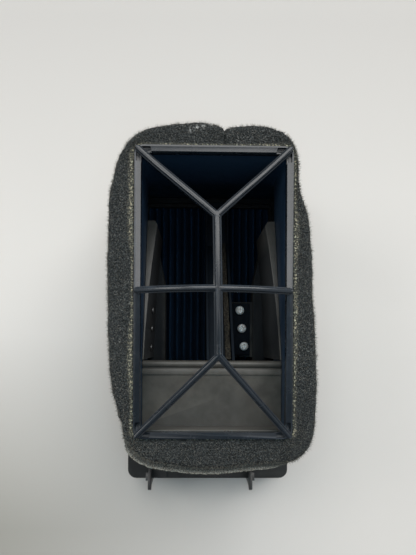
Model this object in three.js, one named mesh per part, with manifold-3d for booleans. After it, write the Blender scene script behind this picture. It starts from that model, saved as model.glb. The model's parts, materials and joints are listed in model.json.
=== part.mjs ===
// Air filter housing: a guarded inlet with a foam collar, a filter drawer with two clips, an outlet base.
//
// Millimetres, +Z up. The origin is the middle of the bounding box's bottom face.
// The inlet mouth faces up, the drawer comes out towards -Y, and the outlet opens downwards.

import * as THREE from "three";
import { mergeVertices } from "three/addons/utils/BufferGeometryUtils.js";
import Module from "manifold-3d";

const wasm = await Module();
wasm.setup();

// ---------------------------------------------------------------- driving dimensions

const GAP = 0.3; // between pieces that rest on each other
const WALL = 2.6; // moulded walls
const MIDDLE_Y = 1.7; // middle of the bounding box in the frame of the lengths below

// Inlet mouth. Lengths inside the neck are measured from its centre line, at y = MOUTH.y.
const MOUTH = { y: 23, z: 150, width: 88, length: 162, rim: 3.6, radius: 5 };
const NECK_TOP = 145.7;
const NECK_FOOT = 92; // where the neck starts to flare into the hopper

const HOPPER = { y: 10, width: 111, length: 200, radius: 8, foot: 28, shoulder: 40 };
const FLANGE = { y: 3.75, width: 122.4, length: 224.5, radius: 6.5, thickness: 3 };
const COLLAR = { bottom: 121.5, top: 148.3, ledge: 6.5, ledgeThickness: 2.5 };

const BAY = { y: 4.5, width: 115.2, length: 215, radius: 6, floor: 2.6, roof: 23.5, top: 26.5 };
const BAY_WINDOW = { y: 10, width: 98, length: 188, radius: 5 };
const OUTLET = { y: 10, width: 88, length: 180, bar: 5, windows: 3 };
const LUG = { x: 65, radius: 8, height: 6, hole: 4.4, bolt: 3.2, places: [-62, 93] };

const DRAWER = { front: -103.6, back: 108.6, halfWidth: 54.2, bottom: 3.1, top: 18.5, wall: 2 };
const COVER = { front: -107, halfWidth: 57.6, bottom: 1, top: 22.8 };
const CARTRIDGE = { front: -101.4, back: 106.4, halfWidth: 51.9, bottom: 5.3, top: 19, wall: 1.5 };
const PLEATS = { count: 18, halfWidth: 49.8, bottom: 5.6, top: 18.4, sheet: 2.9 };

const SHELF = {
  z: 128,
  thickness: 2.5,
  edge: -43.4,
  band: 3.2,
  bandHeight: 0.9,
  roll: 2.1,
  apron: 34,
  upstand: 1.2,
};
const GUIDE = { front: -38, back: 51, slope: 0.34, sheet: 2.2, tier: 47, foot: 27.1 };
const DIVIDER = { left: -3.1, right: 13.9, fin: 1.6, front: -38.2, peak: 121.5, low: 50, foot: 34 };
const STRIP = { left: 8.3, right: 11.8 };
const FOOT_PLATE = { bottom: 42, top: 44.5 };

const GUARD = {
  backJunction: [1.2, 40], // where the spine meets the back ribs, from the mouth's centre
  frontJunction: [2.5, -34.7],
  crossbar: 0.8,
  crown: 14, // height of the middle of the guard above its corners
  proud: 1.8, // height of the rib ends above the rim
  rib: 3.8,
  spine: 4.6,
  depth: 7.6,
  lipFoot: 144,
  pocket: 6, // radius of the pocket in the rim round each corner rib's end
  pocketDepth: 2.9,
  pocketWall: 0.9, // left standing between a pocket and the rim's outer side
};

const CLIP = { y: -110.2, z: 9, pin: 1.3, boss: 2.8, top: 40, tip: -98.8, blade: 2.4, shoulder: 2.2 };
const CLIP_PLACES = { left: { x: -44, outward: -1 }, right: { x: 32.2, outward: 1 } };

// ---------------------------------------------------------------- materials

const paint = (color, roughness, metalness = 0) =>
  new THREE.MeshStandardMaterial({ color, roughness, metalness });
const BLACK_PLASTIC = paint(0x17191c, 0.42);
const GREY_PLASTIC = paint(0x2b2a28, 0.5);
const FOAM = paint(0x2e2f2f, 1);
const STRIP_FOAM = paint(0x4a4234, 1);
const MEDIA = paint(0x0c0d0e, 0.95);
const CARD = paint(0x191a1b, 0.8);
const SEAL = paint(0x131313, 0.9);
const ZINC = paint(0xc9ccca, 0.3, 1);
const BLACK_STEEL = paint(0x202224, 0.4, 1);

// ---------------------------------------------------------------- solids

const housing = new THREE.Group();

/** A closed three.js geometry as a solid that can be joined and cut. */
function solid(geometry) {
  const loose = geometry.index ? geometry.toNonIndexed() : geometry;
  const bare = new THREE.BufferGeometry();
  bare.setAttribute("position", loose.getAttribute("position"));
  const merged = mergeVertices(bare, 1e-4);
  return new wasm.Manifold(
    new wasm.Mesh({
      numProp: 3,
      vertProperties: new Float32Array(merged.attributes.position.array),
      triVerts: new Uint32Array(merged.index.array),
    }),
  );
}

/** Adds a solid to the housing as one named mesh. */
function piece(name, made, material) {
  const { numProp, vertProperties, triVerts } = made.getMesh();
  const positions = new Float32Array((vertProperties.length / numProp) * 3);
  for (let i = 0; i < positions.length / 3; i++)
    positions.set(vertProperties.subarray(i * numProp, i * numProp + 3), i * 3);
  const geometry = new THREE.BufferGeometry();
  geometry.setAttribute("position", new THREE.BufferAttribute(positions, 3));
  geometry.setIndex(new THREE.BufferAttribute(triVerts, 1));
  geometry.computeVertexNormals();
  const mesh = new THREE.Mesh(geometry, material);
  mesh.name = name;
  housing.add(mesh);
}

const join = (...solids) => solids.reduce((sum, next) => sum.add(next));
const cut = (from, ...tools) => tools.reduce((left, tool) => left.subtract(tool), from);

/** The outline (x, y) pushed up from z0 to z1. */
function prism(outline, z0, z1, holes = []) {
  const shape = new THREE.Shape(outline);
  shape.holes = holes.map((hole) => new THREE.Path(hole));
  const geometry = new THREE.ExtrudeGeometry(shape, { depth: z1 - z0, bevelEnabled: false });
  return solid(geometry.translate(0, 0, z0));
}

/** The profile (y, z) pushed along X from x0 to x1. */
function alongX(profile, x0, x1) {
  const shape = new THREE.Shape(profile);
  const geometry = new THREE.ExtrudeGeometry(shape, { depth: x1 - x0, bevelEnabled: false });
  const turn = new THREE.Matrix4().makeBasis(
    new THREE.Vector3(0, 1, 0),
    new THREE.Vector3(0, 0, 1),
    new THREE.Vector3(1, 0, 0),
  );
  return solid(geometry.applyMatrix4(turn).translate(x0, 0, 0));
}

/** The profile (x, z) pushed along Y from y0 to y1. */
function alongY(profile, y0, y1) {
  const shape = new THREE.Shape(profile);
  const geometry = new THREE.ExtrudeGeometry(shape, { depth: y1 - y0, bevelEnabled: false });
  return solid(geometry.rotateX(Math.PI / 2).translate(0, y1, 0));
}

function box(x0, x1, y0, y1, z0, z1) {
  const geometry = new THREE.BoxGeometry(x1 - x0, y1 - y0, z1 - z0);
  return solid(geometry.translate((x0 + x1) / 2, (y0 + y1) / 2, (z0 + z1) / 2));
}

/** A round bar standing on (x, y), from z0 to z1. */
function post(radius, x, y, z0, z1, sides = 16) {
  const geometry = new THREE.CylinderGeometry(radius, radius, z1 - z0, sides);
  return solid(geometry.rotateX(Math.PI / 2).translate(x, y, (z0 + z1) / 2));
}

/** A round bar along X through (y, z), from x0 to x1. */
function bar(radius, y, z, x0, x1, sides = 16) {
  const geometry = new THREE.CylinderGeometry(radius, radius, x1 - x0, sides);
  return solid(geometry.rotateZ(Math.PI / 2).translate((x0 + x1) / 2, y, z));
}

const point = (a, b) => new THREE.Vector2(a, b);

/** The four corner arcs of a rounded rectangle, anticlockwise. */
function roundedRectangle({ y = 0, width, length, radius }, inset = 0, steps = 5) {
  const r = Math.max(radius - inset, 1.5);
  const points = [];
  [[1, 1], [-1, 1], [-1, -1], [1, -1]].forEach(([sideX, sideY], corner) => {
    for (let i = 0; i <= steps; i++) {
      const angle = (Math.PI / 2) * (corner + i / steps);
      const x = sideX * (width / 2 - inset - r) + r * Math.cos(angle);
      points.push(point(x, y + sideY * (length / 2 - inset - r) + r * Math.sin(angle)));
    }
  });
  return points;
}

/** A flat plate with one opening. */
const frame = (outer, opening, z0, z1, inset = 0) =>
  prism(roundedRectangle(outer), z0, z1, [roundedRectangle(opening, inset)]);

/** A closed skin over rings of points with equal counts, from the first ring to the last. */
function loft(rings) {
  const count = rings[0].length;
  const indices = [];
  for (let k = 0; k < rings.length - 1; k++)
    for (let i = 0; i < count; i++) {
      const [a, b] = [k * count + i, k * count + ((i + 1) % count)];
      indices.push(a, b, b + count, a, b + count, a + count);
    }
  const last = (rings.length - 1) * count;
  for (let i = 1; i < count - 1; i++) indices.push(0, i + 1, i, last, last + i, last + i + 1);
  const geometry = new THREE.BufferGeometry().setFromPoints(rings.flat());
  geometry.setIndex(indices);
  return solid(geometry);
}

// ---------------------------------------------------------------- hopper and neck

const mouth = { y: MOUTH.y, width: MOUTH.width, length: MOUTH.length, radius: MOUTH.radius };

/** The hopper and neck as one filled body, its sides moved in by inset, open ends passed by reach. */
function hopperBody(inset, reach) {
  const mix = THREE.MathUtils.lerp;
  const ring = (share, z) => {
    const outline = {
      y: mix(HOPPER.y, mouth.y, share),
      width: mix(HOPPER.width, mouth.width, share),
      length: mix(HOPPER.length, mouth.length, share),
      radius: mix(HOPPER.radius, mouth.radius, share),
    };
    return roundedRectangle(outline, inset).map((p) => new THREE.Vector3(p.x, p.y, z));
  };
  const flareSteps = 6;
  const rings = [ring(0, HOPPER.foot - reach)];
  for (let i = 0; i <= flareSteps; i++) {
    const t = i / flareSteps;
    const eased = 0.5 * t + 0.5 * THREE.MathUtils.smoothstep(t, 0, 1);
    rings.push(ring(eased, mix(HOPPER.shoulder, NECK_FOOT, t)));
  }
  rings.push(ring(1, NECK_TOP + reach));
  return loft(rings);
}

// Self-tapping flange screws: three along each side and two along the back.
const FLANGE_SCREWS = [
  ...[-80, 5, 90].flatMap((y) => [point(-58.4, y), point(58.4, y)]),
  point(-35, 113),
  point(35, 113),
];
const FLANGE_TOP = HOPPER.foot + FLANGE.thickness;
const SHELF_LUG = { y0: -70, y1: -50, z0: 113, z1: 117.6, reach: 2.6 };

function upperHousing() {
  const shell = cut(hopperBody(0, 0), hopperBody(WALL, 1));
  const flange = frame(FLANGE, HOPPER, HOPPER.foot, FLANGE_TOP, WALL);
  const ledge = {
    ...mouth,
    width: mouth.width + 2 * COLLAR.ledge,
    length: mouth.length + 2 * COLLAR.ledge,
    radius: mouth.radius + COLLAR.ledge,
  };
  const ledgeTop = COLLAR.bottom - GAP;
  const collarLedge = frame(ledge, mouth, ledgeTop - COLLAR.ledgeThickness, ledgeTop, 1);
  const innerX = mouth.width / 2 - WALL;
  const shelfLugs = [-1, 1].map((side) => {
    const [near, far] = [side * (innerX - SHELF_LUG.reach), side * (innerX + 1)].sort((a, b) => a - b);
    return box(near, far, mouth.y + SHELF_LUG.y0, mouth.y + SHELF_LUG.y1, SHELF_LUG.z0, SHELF_LUG.z1);
  });
  const holes = FLANGE_SCREWS.map((p) => post(1.7, p.x, p.y, HOPPER.foot - 1, FLANGE_TOP + 1, 12));
  return cut(join(shell, flange, collarLedge, ...shelfLugs, ...gussets()), ...holes);
}

// A low bar across the flange's front edge that lines up the drawer's left clip.
const GUIDE_BAR = { x: -32, height: 1.8, setBack: 0.6 };

/** Thin webs that stiffen the corner between the flange and the hopper, and the guide bar. */
function gussets() {
  const half = 0.9;
  const height = 13;
  const [lip, rise] = [FLANGE_TOP - 0.5, FLANGE_TOP + height];
  const sideWeb = (sign, y) => {
    const [out, inn] = [sign * (FLANGE.width / 2 - 1.2), sign * (HOPPER.width / 2 - 1)];
    return alongY([point(inn, lip), point(out, lip), point(inn, rise)], y - half, y + half);
  };
  const endWeb = (x, out, inn, top) =>
    alongX([point(inn, lip), point(out, lip), point(inn, top)], x - half, x + half);
  const [front, back] = [HOPPER.y - HOPPER.length / 2, HOPPER.y + HOPPER.length / 2];
  const barFront = FLANGE.y - FLANGE.length / 2 + GUIDE_BAR.setBack;
  const barTop = FLANGE_TOP + GUIDE_BAR.height;
  return [
    box(GUIDE_BAR.x - half, GUIDE_BAR.x + half, barFront, front + 1, lip, barTop),
    ...[-52, -24, 33, 62].flatMap((y) => [sideWeb(-1, y), sideWeb(1, y)]),
    ...[-20, 4, 20].map((x) => endWeb(x, front - 12, front + 1, lip + 9)),
    ...[-12, 12].map((x) => endWeb(x, back + 4.8, back - 1, rise)),
  ];
}

// ---------------------------------------------------------------- inlet guard

/** Half a rib's section from its foot to its crest: share of half the width, height from the crest. */
const RIB_SECTION = [
  [0.72, -GUARD.depth],
  [1, -2.2],
  [1, -1.7],
  [0.72, -1.4],
  [0.66, -0.8],
  [0.46, -0.25],
];

/** Height of the rib crests above the rim at (x, y from the mouth's centre). */
function crest(x, y) {
  const across = 1 - (x / (MOUTH.width / 2 - 1)) ** 2;
  const along = 1 - (y / (MOUTH.length / 2 - 1.4)) ** 2;
  return GUARD.proud + GUARD.crown * Math.max(across, 0) * Math.max(along, 0);
}

/** One rib between two places in the mouth, following the crown, with round ends. */
function guardRib(from, to, width, steps = 10) {
  const radius = width / 2;
  const direction = to.clone().sub(from).normalize();
  const side = point(-direction.y, direction.x);
  const half = RIB_SECTION.map(([share, z]) => point(share * radius, z));
  const section = [...half, point(0, 0), ...half.map((p) => point(-p.x, p.y)).reverse()];
  const ring = (centre, squeeze) =>
    section.map((p) => {
      const x = centre.x + side.x * p.x * squeeze;
      const y = centre.y + side.y * p.x * squeeze;
      return new THREE.Vector3(x, mouth.y + y, MOUTH.z + crest(centre.x, centre.y) + p.y);
    });
  const rings = [];
  const endAngles = [80, 50, 25].map(THREE.MathUtils.degToRad);
  for (const a of endAngles)
    rings.push(ring(from.clone().addScaledVector(direction, -radius * Math.sin(a)), Math.cos(a)));
  for (let i = 0; i <= steps; i++) rings.push(ring(from.clone().lerp(to, i / steps), 1));
  for (const a of endAngles.reverse())
    rings.push(ring(to.clone().addScaledVector(direction, radius * Math.sin(a)), Math.cos(a)));
  return loft(rings);
}

function inletGuard() {
  const rim = frame(mouth, mouth, NECK_TOP + GAP, MOUTH.z, MOUTH.rim);
  const lipOuter = WALL + GAP;
  const lip = prism(roundedRectangle(mouth, lipOuter), GUARD.lipFoot, MOUTH.z - 2.5, [
    roundedRectangle(mouth, MOUTH.rim),
  ]);
  const back = point(...GUARD.backJunction);
  const front = point(...GUARD.frontJunction);
  const [cornerX, cornerY] = [MOUTH.width / 2 - 2.2, MOUTH.length / 2 - 2.2];
  const ribs = [
    guardRib(back, front, GUARD.spine),
    guardRib(point(-42, GUARD.crossbar), point(42, GUARD.crossbar), GUARD.rib, 16),
    ...[-1, 1].flatMap((side) => [
      guardRib(point(side * cornerX, cornerY), back, GUARD.rib),
      guardRib(point(side * cornerX, -cornerY), front, GUARD.rib),
    ]),
  ];
  const around = { ...mouth, width: mouth.width + 20, length: mouth.length + 20 };
  const neckWall = prism(roundedRectangle(around), 130, NECK_TOP + GAP, [
    roundedRectangle(mouth, lipOuter),
  ]);
  const collarSpace = frame(around, mouth, 130, COLLAR.top + GAP);
  const pocketFloor = MOUTH.z - GUARD.pocketDepth;
  const insideRim = prism(roundedRectangle(mouth, GUARD.pocketWall), pocketFloor, MOUTH.z + 1);
  const pockets = [-1, 1].flatMap((sideX) =>
    [-1, 1].map((sideY) => {
      const [x, y] = [sideX * (cornerX - 1.2), mouth.y + sideY * (cornerY - 1.2)];
      return post(GUARD.pocket, x, y, pocketFloor, MOUTH.z + 1, 24).intersect(insideRim);
    }),
  );
  return cut(join(cut(rim, ...pockets), lip, ...ribs), neckWall, collarSpace);
}

// ---------------------------------------------------------------- foam collar

// The collar's outer edge from the mouth's centre, anticlockwise from the right: the strip is
// squeezed thin beside the back right corner, dips where its ends meet, and swells at the front.
const COLLAR_EDGE = [
  [56.6, 20], [54, 42], [48.8, 58], [47.8, 74], [42.6, 88], [28, 94.8], [12, 94.6], [6, 93.4], [0, 95.4],
  [-12, 96.4], [-28, 95.2], [-42, 90.6], [-53, 78], [-58.4, 60], [-60, 30], [-59.8, -25], [-58, -50],
  [-51.8, -75], [-48.8, -88], [-41, -95.8], [-24, -100], [-4, -101.6], [18, -100], [44, -96.6], [55, -87],
  [58.8, -70], [59, -40], [57.6, -10],
];

function foamCollar() {
  const edge = COLLAR_EDGE.map(([x, y]) => new THREE.Vector3(x, mouth.y + y, 0));
  const curve = new THREE.CatmullRomCurve3(edge, true, "centripetal");
  const outline = curve.getPoints(84).slice(0, -1).map((p) => point(p.x, p.y));
  return prism(outline, COLLAR.bottom, COLLAR.top, [roundedRectangle(mouth, -GAP)]);
}

// ---------------------------------------------------------------- pieces inside the neck

const inNeck = (y, z) => point(mouth.y + y, z);

/** The rolled-edge shelf that closes the front third of the mouth, with its apron and side skirts. */
function baffleShelf() {
  const halfWidth = mouth.width / 2 - WALL - GAP;
  const front = -(mouth.length / 2 - WALL - GAP);
  const { z, thickness, edge, band, bandHeight, roll, apron } = SHELF;
  const rollY = edge + 0.9 + roll;
  const plate = alongX(
    [
      inNeck(front, z - thickness),
      inNeck(rollY, z - thickness),
      inNeck(rollY, z - 1.2),
      inNeck(edge, z - 1.2),
      inNeck(edge, z + bandHeight),
      inNeck(edge - band, z + bandHeight),
      inNeck(edge - band, z),
      inNeck(front, z),
    ],
    -halfWidth,
    halfWidth,
  );
  const rolled = bar(roll, mouth.y + rollY, z - roll + 0.5, -halfWidth, halfWidth, 20);
  const wallY = mouth.y + front;
  const upstand = box(-halfWidth, halfWidth, wallY, wallY + SHELF.upstand, z - 1, GUARD.lipFoot - GAP);
  const fallTop = z - thickness + 0.5;
  const fall = box(-38.6, 38.6, mouth.y + rollY - 1.1, mouth.y + rollY + 1.1, z - apron, fallTop);
  const skirts = [-1, 1].map((side) => {
    const [x0, x1] = [side * halfWidth, side * (halfWidth - 2)].sort((a, b) => a - b);
    return box(x0, x1, mouth.y + front, mouth.y + rollY, 118, fallTop);
  });
  return join(plate, upstand, rolled, fall, ...skirts).intersect(hopperBody(WALL + GAP, 0));
}

/** Tongue of the right flow guide that carries the divider's foot. */
const TONGUE = { x0: 17, x1: 36, y0: -38, y1: 3 };
const FOOT_SCREWS = [0, 1, 2].map((i) => point(22.8 + 1.6 * i, -3.4 - 13.35 * i));

/** Rivets through the left flow guide's wall: place along the neck, height and size. */
const GUIDE_RIVETS = { places: [-6, -18.5, -31], z: 80, shank: 1.1, head: 2.3, headHeight: 1.2 };

/** A bent sheet on one side wall: a ledge that falls and widens to the back over a lower tier. */
function flowGuide(sideName) {
  const side = sideName === "left" ? -1 : 1;
  const swell = new THREE.QuadraticBezierCurve(point(40.6, GUIDE.front), point(39.7, 6), point(34.8, 48));
  const outside = 60; // beyond the hopper's side
  const upperPlan = [
    ...swell.getPoints(10),
    point(36.4, GUIDE.back),
    point(outside, GUIDE.back),
    point(outside, GUIDE.front),
  ];
  const lowerPlan = [point(60, -72), point(32.5, -72), point(32.5, 15), point(41, 56), point(60, 56)];
  const place = (plan) => plan.map((p) => point(p.x, mouth.y + p.y));
  const ledgeAt = (y) => SHELF.z - GUIDE.slope * (y - GUIDE.front);
  const above = alongX(
    [inNeck(-80, ledgeAt(-80)), inNeck(80, ledgeAt(80)), inNeck(80, 200), inNeck(-80, 200)],
    -1,
    70,
  );
  const upper = prism(place(upperPlan), GUIDE.tier - 1, SHELF.z + 5).subtract(above);
  const lower = prism(place(lowerPlan), GUIDE.foot, GUIDE.tier);
  const filled = join(upper, lower).intersect(hopperBody(WALL + GAP, 0));
  const hollow = join(upper, lower).translate([GUIDE.sheet, 0, -GUIDE.sheet]);
  const sheet = filled.subtract(hollow);
  const bent = side < 0 ? sheet.mirror([1, 0, 0]) : sheet;

  const body = side > 0 ? withTongue(bent) : cut(bent, ...GUIDE_RIVETS.places.map(rivetHole));
  return body.decompose().sort((a, b) => b.volume() - a.volume())[0];
}

function withTongue(guide) {
  const { x0, x1, y0, y1 } = TONGUE;
  const [top, thickness] = [FOOT_PLATE.bottom - GAP, 3.5];
  const tongue = box(x0, x1 - 1.6, mouth.y + y0, mouth.y + y1, top - thickness, top);
  const bosses = FOOT_SCREWS.map((p) => post(3.2, p.x, mouth.y + p.y, 33, top - 1, 12));
  const bores = FOOT_SCREWS.map((p) => post(1.6, p.x, mouth.y + p.y, 32, top + 1, 12));
  return cut(join(guide, tongue, ...bosses), ...bores);
}

/** X of the left flow guide's inner face at a place along the neck. */
function guideFace(y) {
  const { lerp } = THREE.MathUtils;
  const t = (y - GUIDE.front) / (48 - GUIDE.front);
  return -lerp(lerp(40.6, 39.7, t), lerp(39.7, 34.8, t), t);
}

const rivetHole = (y) =>
  bar(GUIDE_RIVETS.shank + 0.15, mouth.y + y, GUIDE_RIVETS.z, guideFace(y) - 4, guideFace(y) + 2, 12);

/** A rivet with a low domed head on the guide's inner face. */
function guideRivet(y) {
  const { shank, head, headHeight, z } = GUIDE_RIVETS;
  const profile = [
    point(0, -1.9),
    point(shank, -1.9),
    point(shank, 0),
    point(head, 0),
    point(head * 0.85, headHeight * 0.7),
    point(head * 0.4, headHeight),
    point(0, headHeight),
  ];
  const rivet = new THREE.LatheGeometry(profile, 12).rotateZ(-Math.PI / 2);
  return solid(rivet.translate(guideFace(y) + 0.35, mouth.y + y, z));
}

/** Twin-fin divider with a sloping top, a web between the fins and a foot plate on its right. */
function centreDivider() {
  const { left, right, fin, front, peak, low, foot } = DIVIDER;
  const back = 77.5;
  const profile = [
    inNeck(front, foot),
    inNeck(front, peak),
    inNeck(46, low),
    inNeck(back, low),
    inNeck(back, foot),
  ];
  const web = [
    inNeck(front, peak - 7),
    inNeck(44.5, low - 6),
    inNeck(back, low - 6),
    inNeck(back, low - 8.5),
    inNeck(43.5, low - 8.5),
    inNeck(front, peak - 9.8),
  ];
  const { bottom, top } = FOOT_PLATE;
  const bores = FOOT_SCREWS.map((p) => post(1.7, p.x, mouth.y + p.y, bottom - 1, top + 1, 12));
  const body = join(
    alongX(profile, left, left + fin),
    alongX(profile, right - fin, right),
    alongX(web, left + 0.5, right - 0.5),
    box(right - 0.5, 30.5, mouth.y - 37, mouth.y + 2, bottom, top),
  );
  return cut(body, ...bores);
}

/** The foam strip that stands on the divider's web against its right fin. */
function dividerStrip() {
  const { front, peak, low } = DIVIDER;
  const profile = [
    inNeck(front + 0.6, peak - 6.9),
    inNeck(front + 0.6, peak - 0.6),
    inNeck(45.6, low - 0.2),
    inNeck(44.7, low - 5.6),
  ];
  return alongX(profile, STRIP.left, STRIP.right);
}

// ---------------------------------------------------------------- filter bay

function lowerHousing() {
  const cavity = box(-55, 55, -130, 109.4, BAY.floor, BAY.roof + 1);
  const roof = frame(FLANGE, BAY_WINDOW, BAY.roof, BAY.top);
  const walls = cut(prism(roundedRectangle(BAY), 0, BAY.roof + 0.5), cavity);
  const lugs = LUG.places.flatMap((y) =>
    [-1, 1].map((side) => {
      const [x0, x1] = [side * 56.5, side * LUG.x].sort((a, b) => a - b);
      const plate = box(x0, x1, y - LUG.radius, y + LUG.radius, 0, LUG.height);
      return plate.add(post(LUG.radius, side * LUG.x, y, 0, LUG.height));
    }),
  );
  const bosses = FLANGE_SCREWS.map((p) => post(2.7, p.x, p.y, 11, BAY.roof + 0.5, 12));
  const pitch = (OUTLET.length + OUTLET.bar) / OUTLET.windows;
  const windows = Array.from({ length: OUTLET.windows }, (_, i) => {
    const y = OUTLET.y + (i - (OUTLET.windows - 1) / 2) * pitch;
    const window = { y, width: OUTLET.width, length: pitch - OUTLET.bar, radius: 4 };
    return prism(roundedRectangle(window), -1, BAY.floor + 0.5);
  });
  const groove = outletRing(0.3, -1, 1.6);
  const screwHoles = FLANGE_SCREWS.map((p) => post(1.45, p.x, p.y, 12.5, BAY.top + 1, 12));
  const bushHoles = bushPlaces().map((p) => post(LUG.hole, p.x, p.y, -1, LUG.height + 1));
  const body = join(cut(join(walls, roof), cavity), ...lugs, ...bosses);
  return cut(body, ...windows, groove, ...screwHoles, ...bushHoles);
}

const bushPlaces = () => LUG.places.flatMap((y) => [point(-LUG.x, y), point(LUG.x, y)]);

/** The ring of the outlet gasket, widened by spare on every side. */
function outletRing(spare, z0, z1) {
  const ring = (grow) => ({
    y: OUTLET.y,
    width: OUTLET.width + 2 * grow,
    length: OUTLET.length + 2 * grow,
    radius: 4 + grow,
  });
  return frame(ring(4.6 + spare), ring(1.6 - spare), z0, z1);
}

function flangeSeal() {
  const outer = { ...FLANGE, width: FLANGE.width - 1, length: FLANGE.length - 1 };
  const opening = { ...BAY_WINDOW, width: 103, length: 196, y: 9.5 };
  const holes = FLANGE_SCREWS.map((p) => post(1.7, p.x, p.y, 20, 35, 12));
  return cut(frame(outer, opening, BAY.top + GAP, HOPPER.foot - GAP), ...holes);
}

// ---------------------------------------------------------------- drawer and cartridge

const tray = ({ front, back, halfWidth }) => ({
  y: (front + back) / 2,
  width: 2 * halfWidth,
  length: back - front,
  radius: 3,
});

function filterDrawer() {
  const outer = tray(DRAWER);
  const walls = frame(outer, outer, DRAWER.bottom, DRAWER.top, DRAWER.wall);
  const ledge = frame(outer, outer, DRAWER.bottom, CARTRIDGE.bottom - GAP, 5.5);
  const cover = coverPlate();
  const grip = alongX(
    [point(-106, 13.5), point(-112.4, 12.4), point(-112.4, 10.6), point(-106, 9.5)],
    -24,
    12,
  );
  const clevises = Object.values(CLIP_PLACES).flatMap(clevis);
  return join(walls, ledge, cover, grip, ...clevises);
}

function coverPlate() {
  const corner = 3;
  const { halfWidth, bottom, top } = COVER;
  const face = [
    point(-halfWidth + corner, bottom),
    point(halfWidth - corner, bottom),
    point(halfWidth, bottom + corner),
    point(halfWidth, top),
    point(-halfWidth, top),
    point(-halfWidth, bottom + corner),
  ];
  return alongY(face, COVER.front, DRAWER.front + GAP);
}

/** X range of a clip lever: its blade and, outside it, its shoulder. */
function clipSpan({ x, outward }) {
  const blade = [x - CLIP.blade / 2, x + CLIP.blade / 2];
  const shoulder =
    outward > 0 ? [blade[1], blade[1] + CLIP.shoulder] : [blade[0] - CLIP.shoulder, blade[0]];
  return { blade, shoulder, x0: Math.min(blade[0], shoulder[0]), x1: Math.max(blade[1], shoulder[1]) };
}

/** The two cheeks on the drawer's cover that hold a clip's pin. */
function clevis(place) {
  const { x0, x1 } = clipSpan(place);
  const cheek = (a, b) => {
    const boss = bar(CLIP.boss, CLIP.y, CLIP.z, a, b);
    const root = box(a, b, CLIP.y, COVER.front + 0.5, CLIP.z - CLIP.boss, CLIP.z + CLIP.boss);
    return cut(join(boss, root), bar(CLIP.pin + 0.1, CLIP.y, CLIP.z, a - 1, b + 1));
  };
  return [cheek(x0 - 2.2, x0 - 0.35), cheek(x1 + 0.35, x1 + 2.2)];
}

function cartridgeFrame() {
  const outer = tray(CARTRIDGE);
  return frame(outer, outer, CARTRIDGE.bottom, CARTRIDGE.top, CARTRIDGE.wall);
}

function filterSeal() {
  const outer = tray(CARTRIDGE);
  return frame(outer, outer, CARTRIDGE.top + GAP, BAY.roof - 0.4, 5);
}

/** The pleated sheet: folds run along Y, side by side across X. */
function filterMedia() {
  const { count, halfWidth, bottom, top, sheet } = PLEATS;
  const crests = [];
  for (let i = 0; i <= 2 * count; i++) {
    const x = -halfWidth + (i * halfWidth) / count;
    crests.push(point(x, i % 2 ? top : bottom + sheet));
  }
  const under = crests.map((p) => point(p.x, p.y - sheet)).reverse();
  return alongY([...crests, ...under], CARTRIDGE.front + 2.3, CARTRIDGE.back - 2.3);
}

/** A clip lever: a hooked blade beside a shorter shoulder, both on the pivot's boss. */
function clipLever(place) {
  const { blade, shoulder, x0, x1 } = clipSpan(place);
  const hook = [
    point(CLIP.y - 2.4, CLIP.z),
    point(-109.3, CLIP.z),
    point(-109.3, 31.8),
    point(CLIP.tip, 31.8),
    point(CLIP.tip, 34.5),
    point(-107, CLIP.top),
    point(-114.6, CLIP.top + 1),
    point(-116, 38),
    point(-113.2, 33),
  ];
  const stub = [
    point(CLIP.y - 2.2, CLIP.z),
    point(-109.3, CLIP.z),
    point(-109.3, 31.8),
    point(-103.8, 31.8),
    point(-103.8, 33.4),
    point(-109.6, 35),
  ];
  const sunk = 0.4; // how far the shoulder reaches into the blade
  const stubSpan = place.outward > 0 ? [shoulder[0] - sunk, shoulder[1]] : [shoulder[0], shoulder[1] + sunk];
  const body = join(
    alongX(hook, ...blade),
    alongX(stub, ...stubSpan),
    bar(CLIP.boss, CLIP.y, CLIP.z, x0, x1),
  );
  return cut(body, bar(CLIP.pin + 0.15, CLIP.y, CLIP.z, x0 - 1, x1 + 1));
}

function clipPin(place) {
  const { x0, x1 } = clipSpan(place);
  const [a, b] = [x0 - 2.9, x1 + 2.9];
  return join(
    bar(CLIP.pin, CLIP.y, CLIP.z, a, b),
    bar(2, CLIP.y, CLIP.z, a, a + 0.6),
    bar(2, CLIP.y, CLIP.z, b - 0.6, b),
  );
}

// ---------------------------------------------------------------- fasteners

/** A pan-head screw standing on z with its shank down to z - length. */
function panScrew(x, y, z, { head, height, shank, length }) {
  const profile = [
    point(0, -length),
    point(shank * 0.55, -length),
    point(shank, -length + 1),
    point(shank, 0),
    point(head, 0),
    point(head, height * 0.45),
    point(head * 0.82, height * 0.85),
    point(head * 0.45, height),
    point(0, height),
  ];
  return solid(new THREE.LatheGeometry(profile, 12).rotateX(Math.PI / 2).translate(x, y, z));
}

function steelBush(x, y) {
  return cut(post(LUG.hole - GAP, x, y, 0, LUG.height + 0.2), post(LUG.bolt, x, y, -1, LUG.height + 1));
}

// ---------------------------------------------------------------- assembly

piece("upper_housing", upperHousing(), BLACK_PLASTIC);
piece("lower_housing", lowerHousing(), BLACK_PLASTIC);
piece("flange_seal", flangeSeal(), SEAL);
piece("inlet_guard", inletGuard(), BLACK_PLASTIC);
piece("inlet_foam_collar", foamCollar(), FOAM);
piece("baffle_shelf", baffleShelf(), GREY_PLASTIC);
piece("left_flow_guide", flowGuide("left"), GREY_PLASTIC);
piece("right_flow_guide", flowGuide("right"), GREY_PLASTIC);
piece("centre_divider", centreDivider(), BLACK_PLASTIC);
piece("divider_foam_strip", dividerStrip(), STRIP_FOAM);
piece("outlet_gasket", outletRing(0, 0, 1.3), SEAL);

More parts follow.
